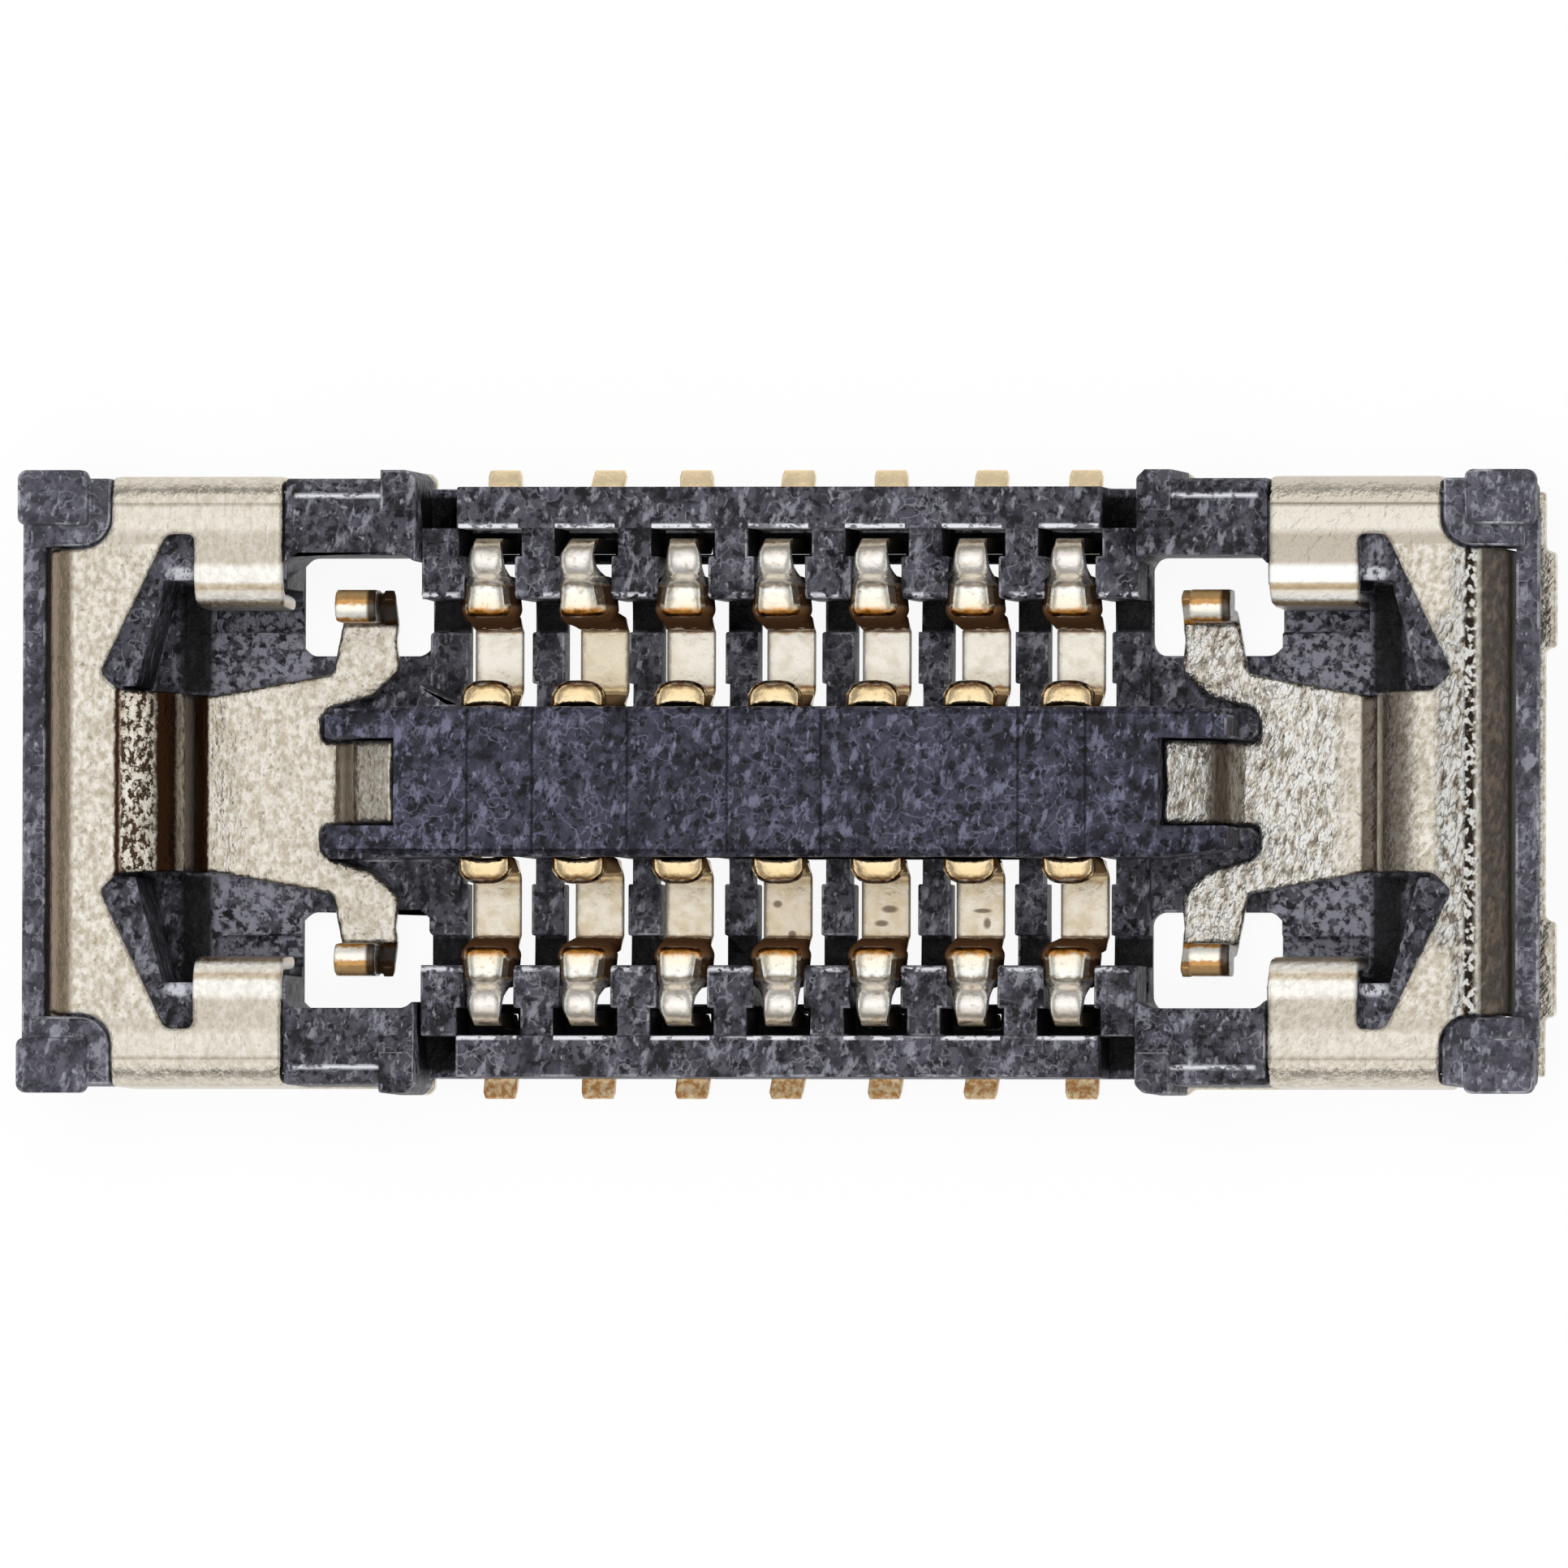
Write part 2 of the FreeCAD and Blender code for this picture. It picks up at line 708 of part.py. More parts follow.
def housing():
    """The moulded housing, one piece."""
    cuts = both_across(end_cuts())
    for i in range(contacts_per_row):
        cuts += contact_cuts(i * pitch - row_half)
    return housing_body().cut(both_ends(cuts)).fuse(gusset()).removeSplitter()


def turned(shape):
    other = shape.copy()
    other.rotate(ORIGIN, ALONG_Z, 180)
    return other


def moved(shape, x):
    other = shape.copy()
    other.translate(ALONG_X * x)
    return other


def save(shape, name):
    shape.exportStep(os.path.join("parts", name + ".step"))


os.makedirs("parts", exist_ok=True)
save(housing(), "housing")
right_fitting = fitting()
save(right_fitting, "end_fitting_right")
save(turned(right_fitting), "end_fitting_left")
upper_contact = contact()
lower_contact = turned(upper_contact)
for i in range(contacts_per_row):
    contact_x = i * pitch - row_half
    save(moved(upper_contact, contact_x), "contact_a%d" % (i + 1))
    save(moved(lower_contact, contact_x), "contact_b%d" % (i + 1))
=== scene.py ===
import math

import bpy
from mathutils import Matrix, Vector
from mathutils.bvhtree import BVHTree


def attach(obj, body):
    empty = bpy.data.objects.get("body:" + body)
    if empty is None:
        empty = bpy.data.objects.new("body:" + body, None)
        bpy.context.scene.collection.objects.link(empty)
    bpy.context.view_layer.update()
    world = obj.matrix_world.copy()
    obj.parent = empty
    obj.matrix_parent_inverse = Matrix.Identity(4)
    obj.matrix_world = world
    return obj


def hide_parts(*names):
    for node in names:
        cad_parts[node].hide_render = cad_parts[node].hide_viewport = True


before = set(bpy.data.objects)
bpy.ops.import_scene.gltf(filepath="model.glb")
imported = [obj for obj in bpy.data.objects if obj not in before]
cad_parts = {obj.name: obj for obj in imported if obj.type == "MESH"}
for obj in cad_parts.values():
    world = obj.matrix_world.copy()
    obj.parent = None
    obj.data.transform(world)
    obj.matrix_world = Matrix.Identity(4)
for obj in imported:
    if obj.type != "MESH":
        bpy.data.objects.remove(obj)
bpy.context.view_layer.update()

# The pieces are modelled in millimetres and brought to metres when they are finished.
# X runs along the contact rows, Y across them and Z up from the circuit board. The part is alike on its four
# quarters, so most places are given once, as sizes of X and Y from the middle lines.
MM = 0.001
PITCH = 0.35
CONTACTS_PER_ROW = 7
ROW_HALF = PITCH * (CONTACTS_PER_ROW - 1) / 2
SHEET = 0.05

# The photograph has 1932 pixels a side, 343.1 to the millimetre. The lens looks down from a little to the right.
IMAGE_PIXELS = 1932
PIXELS_PER_MM = 343.1
LEAN_RIGHT = math.radians(7.9)
LEAN_FRONT = math.radians(1.3)
AIM = Vector((-0.0409, 0.0026, 0.0))
LENS_DISTANCE = 200.0

# Points of a CAD node closer than WELD become one, and its faces that turn by less than FLAT degrees too.
WELD = 0.0005
FLAT = 1


# ---------------------------------------------------------------- modelling

def deselect_all():
    if bpy.context.object and bpy.context.object.mode != "OBJECT":
        bpy.ops.object.mode_set(mode="OBJECT")
    bpy.ops.object.select_all(action="DESELECT")


def pick(piece):
    deselect_all()
    bpy.context.view_layer.objects.active = piece
    piece.select_set(True)


def choose(piece, kind, wanted):
    """Edit mode with just the edges or faces that the test wants selected."""
    pick(piece)
    bpy.ops.object.mode_set(mode="EDIT")
    bpy.ops.mesh.select_mode(type={"edges": "EDGE", "polygons": "FACE"}[kind])
    bpy.ops.mesh.select_all(action="DESELECT")
    bpy.ops.object.mode_set(mode="OBJECT")
    for part in getattr(piece.data, kind):
        part.select = wanted(part)
    bpy.ops.object.mode_set(mode="EDIT")


def modify(piece, kind, **settings):
    pick(piece)
    modifier = piece.modifiers.new(kind, kind)
    for name, value in settings.items():
        setattr(modifier, name, value)
    bpy.ops.object.modifier_apply(modifier=modifier.name)


def copy_of(piece, name):
    twin = piece.copy()
    twin.data = piece.data.copy()
    twin.name = twin.data.name = name
    bpy.context.scene.collection.objects.link(twin)
    return twin


def merged_node(node, name, *finishes):
    """The CAD node's shape as one closed skin, in millimetres."""
    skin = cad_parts[node].data.copy()
    skin.materials.clear()
    for finish in finishes:
        skin.materials.append(finish)
    skin.transform(Matrix.Scale(1 / MM, 4))
    piece = bpy.data.objects.new(name, skin)
    bpy.context.scene.collection.objects.link(piece)
    pick(piece)
    bpy.ops.object.mode_set(mode="EDIT")
    bpy.ops.mesh.select_all(action="SELECT")
    bpy.ops.mesh.remove_doubles(threshold=WELD)
    bpy.ops.mesh.dissolve_limited(angle_limit=math.radians(FLAT))
    bpy.ops.object.mode_set(mode="OBJECT")
    return piece


def outer_edges(mesh, angle):
    """Indices of the edges that stand out and turn by more than the angle, in degrees."""
    beside = {}
    for face in mesh.polygons:
        for key in face.edge_keys:
            beside.setdefault(key, []).append(face)
    found = set()
    for edge in mesh.edges:
        faces = beside.get(tuple(sorted(edge.vertices)), [])
        if len(faces) == 2:
            one, two = faces
            start = mesh.vertices[edge.vertices[0]].co
            lean = max((one.normal.dot(mesh.vertices[i].co - start) for i in two.vertices), key=abs)
            if one.normal.angle(two.normal, 0) > math.radians(angle) and lean < 0:
                found.add(edge.index)
    return found


# A round takes at most this share of an edge that ends on it.
SHARE_OF_NEIGHBOUR = 0.45
# It is left out where it strays from the drawn skin by this share of its width, or turns a face against the skin.
STRAY = 0.6
TURNED = -0.2
LEAST_FACE = 1e-8
ROUNDING_TRIES = 4


def soften(piece, width, angle, segments, edge_slot):
    """Small round along each outer edge, in its own finish. An edge in too tight a place for it stays as it is."""
    plain = piece.data
    skin = BVHTree.FromPolygons([v.co for v in plain.vertices], [f.vertices for f in plain.polygons])
    edges = outer_edges(plain, angle)
    meeting = {}
    for edge in plain.edges:
        for i in edge.vertices:
            meeting.setdefault(i, []).append(edge)
    origin = plain.attributes.new("origin", "INT", "POINT")
    origin.data.foreach_set("value", range(len(plain.vertices)))
    plain.attributes.new("bevel_weight_edge", "FLOAT", "EDGE")
    for index in edges:
        room = width
        for i in plain.edges[index].vertices:
            for other in meeting[i]:
                if other.index not in edges:
                    a, b = (plain.vertices[j].co for j in other.vertices)
                    room = min(room, SHARE_OF_NEIGHBOUR * (a - b).length)
        plain.attributes["bevel_weight_edge"].data[index].value = room / width
    for _ in range(ROUNDING_TRIES):
        piece.data = plain.copy()
        modify(piece, "BEVEL", width=width, segments=segments, limit_method="WEIGHT", material=edge_slot,
               use_clamp_overlap=False, miter_outer="MITER_ARC")
        mesh = piece.data
        came_from = [value.value for value in mesh.attributes["origin"].data]
        cramped = {came_from[v.index] for v in mesh.vertices if skin.find_nearest(v.co)[3] > STRAY * width}
        for face in mesh.polygons:
            if face.area > LEAST_FACE and skin.find_nearest(face.center)[1].dot(face.normal) < TURNED:
                cramped.update(came_from[i] for i in face.vertices)
        for index in edges:
            if cramped.intersection(plain.edges[index].vertices):
                plain.attributes["bevel_weight_edge"].data[index].value = 0
    pick(piece)
    bpy.ops.object.shade_smooth_by_angle(angle=math.radians(angle))


def finished(piece, node):
    """Bring the piece to metres and let it stand for its CAD node."""
    piece.data.transform(Matrix.Scale(MM, 4))
    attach(piece, "root")
    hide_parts(node)


# ---------------------------------------------------------------- finishes

RAMP, REMAP, MIX = "ShaderNodeValToRGB", "ShaderNodeMapRange", "ShaderNodeMix"


def ink(code):
    """An sRGB hex colour in linear light. A plain number is a share, and becomes that grey."""
    def linear(value):
        return value / 12.92 if value <= 0.04045 else ((value + 0.055) / 1.055) ** 2.4
    if isinstance(code, str):
        return tuple(linear(int(code[i:i + 2], 16) / 255) for i in (1, 3, 5)) + (1.0,)
    return code, code, code, 1.0


def add(tree, kind, *values, out=0, stops=(), **settings):
    """A node with its settings and stops, its sockets set or linked, in order or by a dict's keys. Gives an output.
    A kind in capitals is an operation of the Math node, carried on through all the values."""
    if kind.isupper() and len(values) > 2:
        values = add(tree, kind, *values[:-1]), values[-1]
    if kind.isupper():
        kind, settings = "ShaderNodeMath", {"operation": kind}
    node = tree.nodes.new(kind)
    for name, value in settings.items():
        setattr(node, name, value)
    for key, value in values[0].items() if values and isinstance(values[0], dict) else enumerate(values):
        if isinstance(value, bpy.types.NodeSocket):
            tree.links.new(value, node.inputs[key])
        else:
            node.inputs[key].default_value = ink(value) if isinstance(value, str) else value
    if stops:
        ends = node.color_ramp.elements
        while len(ends) < len(stops):
            ends.new(0.5)
        for end, (at, colour) in zip(ends, stops):
            end.position = at
            end.color = ink(colour)
    return node.outputs[out] if node.outputs else None


def between(tree, value, low, high, edge=0.006):
    """1 where the value lies between the two limits, with a soft edge, and 0 elsewhere."""
    rise = add(tree, REMAP, value, low - edge, low + edge)
    fall = add(tree, REMAP, value, high - edge, high + edge, 1.0, 0.0)
    return add(tree, "MULTIPLY", rise, fall)


def grain(tree, place, size_mm, detail=2.0, stretch=(1, 1, 1), turn=0.0, roughness=0.5):
    """Noise whose features are about the given size, drawn out along an axis and turned about Z."""
    turned = add(tree, "ShaderNodeMapping", {"Vector": place, "Rotation": (0, 0, turn)})
    spread = add(tree, "ShaderNodeMapping", {"Vector": turned, "Scale": stretch})
    return add(tree, "ShaderNodeTexNoise", {
        "Vector": spread, "Scale": 1 / (size_mm * MM), "Detail": detail, "Roughness": roughness}, out="Fac")


def hairs(tree, pattern, width):
    """Thin winding lines where the pattern passes through its middle value."""
    off = add(tree, "ABSOLUTE", add(tree, "SUBTRACT", pattern, 0.5))
    return add(tree, REMAP, off, 0.0, width, 1.0, 0.0)


def millimetres(tree, place):
    """X, Y and Z of the place, in millimetres."""
    return [add(tree, "DIVIDE", axis, MM) for axis in add(tree, "ShaderNodeSeparateXYZ", place).node.outputs]


def spot(tree, x, y, middle, reach):
    """A round spot of the given half sizes about a point, in millimetres. It fades out from its middle part."""
    across = add(tree, "DIVIDE", add(tree, "SUBTRACT", x, middle[0]), reach[0])
    along = add(tree, "DIVIDE", add(tree, "SUBTRACT", y, middle[1]), reach[1])
    far = add(tree, "ADD", add(tree, "MULTIPLY", across, across), add(tree, "MULTIPLY", along, along))
    return add(tree, REMAP, far, 0.3, 1.0, 1.0, 0.0)


def new_finish(name):
    """An empty finish: its node tree, the place on the piece that its patterns follow, and its shader."""
    finish = bpy.data.materials.new(name)
    finish.use_nodes = True
    tree = finish.node_tree
    tree.nodes.clear()
    place = add(tree, "ShaderNodeTexCoord", out="Object")
    shader = add(tree, "ShaderNodeBsdfPrincipled").node
    add(tree, "ShaderNodeOutputMaterial", shader.outputs[0])
    return finish, tree, place, shader


def dress(tree, shader, colour, roughness, height, depth_mm, shine=None):
    """Link the colour, roughness and relief of a finish. Shine is how far a plate is bright metal, and not
    matt."""
    bump = add(tree, "ShaderNodeBump", {"Strength": 1.0, "Distance": depth_mm * MM, "Height": height})
    sources = {"Base Color": colour, "Roughness": roughness, "Normal": bump}
    if shine:
        sources["Metallic"] = shine
        sources["Specular IOR Level"] = add(tree, "MULTIPLY", shine, 0.5)
    for socket, source in sources.items():
        tree.links.new(source, shader.inputs[socket])


# A lower limit under every size, for what reaches to the middle line.
MIDDLE = -1
# Levels above the board: under LOW lie the floors of the housing, over ISLAND_TOP the island's flat top,
# under ARM_TOP the arms beside the end openings, and under SHAFT_TOP the shafts at the end walls.
LOW = 0.40
ISLAND_TOP = 0.515
ARM_TOP = 0.46
SHAFT_TOP = 0.47
# X of the lines that the mould's inserts leave across the island, and half their width.
INSERT_LINES = (-1.116, -0.880, -0.536, -0.174, 0.165, 0.877, 1.120)
INSERT_LINE_HALF = 0.003


def plastic(name, edge):
    """Black liquid-crystal polymer, moulded: satin, with pale mineral flecks and curled scuffs.
    Along the edges a broken bright line is painted as a highlight."""
    finish, tree, place, shader = new_finish(name)
    along, across, z = millimetres(tree, place)
    x = add(tree, "ABSOLUTE", along)
    y = add(tree, "ABSOLUTE", across)

    # Clouds of the melt's flow are about 0.15 mm, flecks of its filler 0.02 mm.
    clouds = grain(tree, place, 0.15, 3)
    flecks = grain(tree, place, 0.024, 3, (1, 0.6, 1), roughness=0.7)
    fine = grain(tree, place, 0.010, 2)
    blotches = grain(tree, place, 0.045, 3, (1, 0.7, 1), 0.3, 0.6)
    pores = grain(tree, place, 0.032, 2)
    curls = hairs(tree, grain(tree, place, 0.060, 2), 0.036)
    rubs = grain(tree, place, 0.040, 3, (1, 0.5, 1), 0.2, 0.6)
    glints = grain(tree, place, 0.022, 2, (1, 0.6, 1))
    freckles = grain(tree, place, 0.026, 2)
    arms = add(tree, "MULTIPLY", between(tree, y, 0.300, 0.620), between(tree, x, 1.74, 2.13),
               add(tree, "LESS_THAN", z, ARM_TOP))

    # The end walls and their posts are paler.
    posts = add(tree, "MULTIPLY", add(tree, "GREATER_THAN", x, 2.400), add(tree, "GREATER_THAN", y, 0.860))
    paler_ends = add(tree, "MAXIMUM", add(tree, "GREATER_THAN", x, 2.620), posts)
    on_island = add(tree, "MULTIPLY", between(tree, y, MIDDLE, 0.262), add(tree, "GREATER_THAN", z, ISLAND_TOP))

    # Painted shade, near black: on the floors between the feet of the spring legs, in the pockets, in the pits of the
    # end openings and in the gaps between the small posts and the signal walls.
    low = add(tree, "LESS_THAN", z, LOW)
    pit = add(tree, "MULTIPLY", between(tree, y, 0.551, 0.672), low, add(tree, "LESS_THAN", x, 1.32))
    pocket = add(tree, "MULTIPLY", between(tree, y, 0.700, 0.915), low, add(tree, "LESS_THAN", x, 1.20))
    shaft = add(tree, "MULTIPLY", between(tree, y, 0.330, 0.715), add(tree, "LESS_THAN", z, SHAFT_TOP),
                between(tree, x, 2.100, 2.215, 0.012))
    gully = add(tree, "MULTIPLY", between(tree, y, 0.800, 1.030), low, between(tree, x, 1.150, 1.335))
    black = add(tree, "MAXIMUM", pit, gully, pocket, shaft)
    # A painted highlight on the shelf at the apex of each end opening.
    shelf_highlight = spot(tree, x, y, (2.160, 0.745), (0.060, 0.030))
    lines = add(tree, "MAXIMUM", *(
        between(tree, along, at - INSERT_LINE_HALF, at + INSERT_LINE_HALF, 0.003) for at in INSERT_LINES))
    lines = add(tree, "MULTIPLY", lines, on_island)

    # Painted highlights: broken bright lines along the tops of the walls, on the tips of the comb and over the
    # contacts.
    wall_line = add(tree, "MULTIPLY", between(tree, y, 1.018, 1.030), between(tree, x, 1.43, 1.74))
    comb = add(tree, "MULTIPLY", between(tree, y, 0.662, 0.678), add(tree, "LESS_THAN", x, 1.35),
               add(tree, "GREATER_THAN", z, 0.36))
    tips = add(tree, RAMP, grain(tree, place, 0.045, 2), stops=[(0.47, 0.0), (0.53, 1.0)])
    from_contact = add(tree, "PINGPONG", along, PITCH / 2)
    rim = add(tree, "MULTIPLY", between(tree, y, 0.903, 0.925, 0.003), add(tree, "LESS_THAN", x, 1.17),
              add(tree, "LESS_THAN", from_contact, 0.108))
    bright = add(tree, "MAXIMUM", wall_line, add(tree, "MULTIPLY", comb, tips), rim)
    if edge:
        # A painted highlight along one top edge of the island.
        sill = add(tree, "MULTIPLY", between(tree, across, -0.290, -0.245), add(tree, "GREATER_THAN", z, 0.49))
        bright = add(tree, "MAXIMUM", bright, sill)
        # The edge finish is painted paler in clouds, as highlight on the rounded edges.
        cloudy = add(tree, RAMP, clouds, stops=[(0.45, 0), (0.62, 1)])
        bright = add(tree, "ADD", bright, add(tree, "MULTIPLY", cloudy, 0.35))
    broken = add(tree, RAMP, grain(tree, place, 0.040, 3, (0.6, 1, 1), 0, 0.7), stops=[(0.43, 0.15), (0.50, 1.0)])

    body = add(tree, RAMP, clouds, stops=[(0.34, "#19181D"), (0.52, "#33323A"), (0.70, "#4A4953")])
    for share, colour, blend in (
            (add(tree, RAMP, blotches, stops=[(0.44, 0.0), (0.60, 0.85)]), "#55545E", "MIX"),
            (add(tree, RAMP, pores, stops=[(0.38, 0.9), (0.47, 0.0)]), "#111014", "MIX"),
            (add(tree, "MULTIPLY", curls, add(tree, RAMP, clouds, stops=[(0.46, 0), (0.60, 1)]), 0.7),
             "#8A8A95", "MIX"),
            (add(tree, RAMP, rubs, stops=[(0.56, 0.0), (0.66, 0.75)]), "#90909B", "MIX"),
            (add(tree, RAMP, glints, stops=[(0.64, 0.0), (0.74, 0.55)]), "#B2B3BD", "MIX"),
            (add(tree, "MULTIPLY", arms, add(tree, RAMP, freckles, stops=[(0.46, 0.0), (0.56, 0.85)])),
             "#8E8E9A", "MIX"),
            (paler_ends, "#2C2C33", "SCREEN"),
            # The island's flat top is bluer.
            (on_island, "#D2D4E8", "MULTIPLY"),
            (add(tree, "MULTIPLY", black, 0.94), "#080709", "MIX"),
            (add(tree, "MULTIPLY", shelf_highlight, add(tree, RAMP, flecks, stops=[(0.4, 0), (0.5, 1)])), "#C4C5CE", "MIX"),
            (add(tree, "MULTIPLY", lines, 0.75), "#0E0F13", "MIX"),
            (add(tree, "MULTIPLY", bright, broken), "#E4E5EC", "MIX")):
        body = add(tree, MIX, {0: share, 6: body, 7: colour}, out=2, data_type="RGBA", blend_type=blend)

    satin = add(tree, RAMP, flecks, stops=[(0.3, 0.38), (0.7, 0.60)])
    height = add(tree, "ADD", add(tree, "MULTIPLY", flecks, 0.9), add(tree, "MULTIPLY", fine, 0.5),
                 add(tree, "MULTIPLY", clouds, 2.0))
    height = add(tree, "SUBTRACT", height, add(tree, "MULTIPLY", lines, 0.8))
    shader.inputs["IOR"].default_value = 1.5
    shader.inputs["Specular IOR Level"].default_value = 0.25
    dress(tree, shader, body, satin, height, 0.008)
    return finish


# X of the folds across the end band, from its root to the plate, and how much of the plate's own tone shows there;
# where less shows, painted dark brown reflection takes its place.
BAND_ROOT = 2.0
BAND_END = 2.5
LEFT_FOLDS = ((2.104, 1.0), (2.112, 0.0), (2.158, 0.0), (2.164, 0.80), (2.176, 0.75), (2.184, 0.0), (2.238, 0.0),
              (2.250, 0.95), (2.366, 0.95), (2.374, 0.0), (2.386, 0.0), (2.396, 1.0))
RIGHT_FOLDS = ((2.062, 1.0), (2.072, 0.15), (2.150, 0.25), (2.165, 0.95), (2.178, 0.90), (2.190, 0.26),
               (2.260, 0.38), (2.330, 1.0))
# Wrinkles lie askew across the row.
WRINKLE_TURN = 0.28
WRINKLED_TO_Y = 0.600


def nickel(name, depth_mm, turn, folds, rim_reflection_colour, foil):
    """Copper-alloy strip with a pale champagne nickel plate, stamped: an orange-peel skin over rolling lines.
    The bends of its end band are painted with dark brown reflection. Foil is 1 where the press has wrinkled the
    plate."""
    finish, tree, place, shader = new_finish(name)
    across = millimetres(tree, place)[1]
    x, y, _ = (add(tree, "ABSOLUTE", value) for value in millimetres(tree, place))

    peel = grain(tree, place, 0.022, 3, (1, 0.75, 1), turn, 0.6)
    coarse = grain(tree, place, 0.075, 3, (1, 0.7, 1), turn, 0.6)
    lines = grain(tree, place, 0.010, 2, (1, 0.06, 1), turn)
    pits = grain(tree, place, 0.024, 2)

    # Wrinkles cover the plate and are close and deep near its rim, where the last row stands as beads. Their crests
    # and beads are painted with highlights, their hollows and creases with shade.
    wrinkled = grain(tree, place, 0.024, 3, (1, 0.42, 1), WRINKLE_TURN, 0.6)
    plate = between(tree, y, MIDDLE, WRINKLED_TO_Y, 0.02)
    inner = add(tree, "MULTIPLY", plate, between(tree, x, MIDDLE, 1.990, 0.04))
    deep = add(tree, "MULTIPLY", plate, between(tree, x, 2.395, 2.535, 0.015))
    upper = add(tree, "MULTIPLY", between(tree, y, WRINKLED_TO_Y, 0.930, 0.02), between(tree, x, 2.445, 2.535, 0.015))
    deep = add(tree, "MAXIMUM", deep, upper)
    wrinkle_light_and_shade = add(tree, RAMP, wrinkled, stops=[
        (0.36, "#857A6B"), (0.42, "#CFC6B7"), (0.48, "#F1ECE1"), (0.53, "#FFFFFC")])
    bead_light_and_shade = add(tree, RAMP, grain(tree, place, 0.022, 1, (1, 0.9, 1)), stops=[
        (0.48, "#2A2420"), (0.53, "#8F8576"), (0.58, "#FFFFFC")])
    crease_shade = hairs(tree, grain(tree, place, 0.034, 2, (1, 0.40, 1), WRINKLE_TURN), 0.040)
    for share, colour in ((add(tree, "MULTIPLY", crease_shade, 0.8), "#3E352D"), (between(tree, x, 2.490, 2.535), bead_light_and_shade)):
        wrinkle_light_and_shade = add(tree, MIX, {0: share, 6: wrinkle_light_and_shade, 7: colour}, out=2, data_type="RGBA")
    crumpled = add(tree, "MULTIPLY", add(tree, "MAXIMUM", deep, add(tree, "MULTIPLY", inner, 0.75)), foil)

    # A smooth plate is dimpled between the band and its rim.
    dimples = add(tree, RAMP, grain(tree, place, 0.022, 3, (1, 0.7, 1), turn, 0.7), stops=[(0.46, 1.0), (0.52, 0.0)])
    dimpled = add(tree, "MULTIPLY", between(tree, y, MIDDLE, 0.345, 0.02), between(tree, x, 2.245, 2.372, 0.010),
                  1 - foil)

    tone = add(tree, RAMP, peel, stops=[(0.38, "#BFB5A3"), (0.49, "#DDD5C7"), (0.60, "#F7F2E8")])
    for share, colour in (
            (add(tree, RAMP, lines, stops=[(0.35, 0.0), (0.7, 0.35)]), "#D6CCB9"),
            (add(tree, RAMP, coarse, stops=[(0.50, 0.0), (0.66, 0.30)]), "#A1957C"),
            (add(tree, RAMP, pits, stops=[(0.64, 0.0), (0.72, 0.6)]), "#8E836D"),
            (crumpled, wrinkle_light_and_shade),
            (add(tree, "MULTIPLY", deep, foil, 0.25), "#3E352D"),
            (add(tree, "MULTIPLY", dimpled, dimples), "#46392E")):
        tone = add(tree, MIX, {0: share, 6: tone, 7: colour}, out=2, data_type="RGBA")

    # The bends of the band are painted with dark brown reflection, with ragged edges and thin bright lines left
    # between.
    ragged = add(tree, "MULTIPLY", add(tree, "SUBTRACT", peel, 0.5), 0.02)
    way = add(tree, REMAP, add(tree, "ADD", x, ragged), BAND_ROOT, BAND_END, 0.0, 1.0)
    clear_of_painted_reflection = add(tree, RAMP, way, stops=[
        (0.0, 1.0), *(((at - BAND_ROOT) / (BAND_END - BAND_ROOT), value) for at, value in folds), (1.0, 1.0)])
    clear_of_painted_reflection = add(tree, MIX, {0: between(tree, y, MIDDLE, 0.345), 6: (1, 1, 1, 1), 7: clear_of_painted_reflection}, out=2, data_type="RGBA")
    tone = add(tree, MIX, {0: clear_of_painted_reflection, 6: "#3A2516", 7: tone}, out=2, data_type="RGBA")

    # The outer end bend is painted with its dark reflection, brown-grey on the smooth plate and darker on the
    # wrinkled one, streaked where wrinkled.
    rim = add(tree, "MULTIPLY", between(tree, x, 2.545, 2.690, 0.010), 0.93)
    streaks = add(tree, RAMP, wrinkled, stops=[(0.50, 0.0), (0.60, 0.45 * foil)])
    rim_painted_reflection = add(tree, MIX, {0: streaks, 6: rim_reflection_colour, 7: "#6E5C4D"}, out=2, data_type="RGBA")

    # The hem over the side wall is drawn smooth, in bands of painted highlight and painted dark reflection, and more
    # sharply on the far side than on the near one.
    # From Y 1.0 outwards it has one tone.
    painted_hem_bands = add(tree, RAMP, y, stops=[
        (0.640, "#B59A74"), (0.655, "#FFFFFC"), (0.682, "#F4EBDB"), (0.690, "#B39770"), (0.706, "#C9B694"),
        (0.716, "#FFFFFC"), (0.764, "#FFFFFC"), (0.785, "#C9BFB0"), (0.880, "#C4BAAA"), (0.910, "#F2ECE0"),
        (0.980, "#EDE6D9"), (0.994, "#8C7F6C"), (1.0, "#9A8D79"), (1.0, "#D5CCBD")])
    hem = add(tree, "MAXIMUM", add(tree, "GREATER_THAN", y, 0.85), add(
        tree, "MULTIPLY", add(tree, "GREATER_THAN", y, 0.63), between(tree, x, 1.70, 2.15)))
    sharp = add(tree, RAMP, add(tree, "GREATER_THAN", across, 0), stops=[(0, 0.5), (1, 0.55 + foil * 0.35)])
    hem = add(tree, "MULTIPLY", hem, add(tree, "LESS_THAN", x, 2.45), sharp)
    # Painted shade where the tongue rises from the plate.
    root = add(tree, "MULTIPLY", between(tree, x, 1.555, 1.605, 0.012), between(tree, y, MIDDLE, 0.16))
    for share, colour in ((rim, rim_painted_reflection), (hem, painted_hem_bands), (add(tree, "MULTIPLY", root, 0.85), "#5F4A36")):
        tone = add(tree, MIX, {0: share, 6: tone, 7: colour}, out=2, data_type="RGBA")

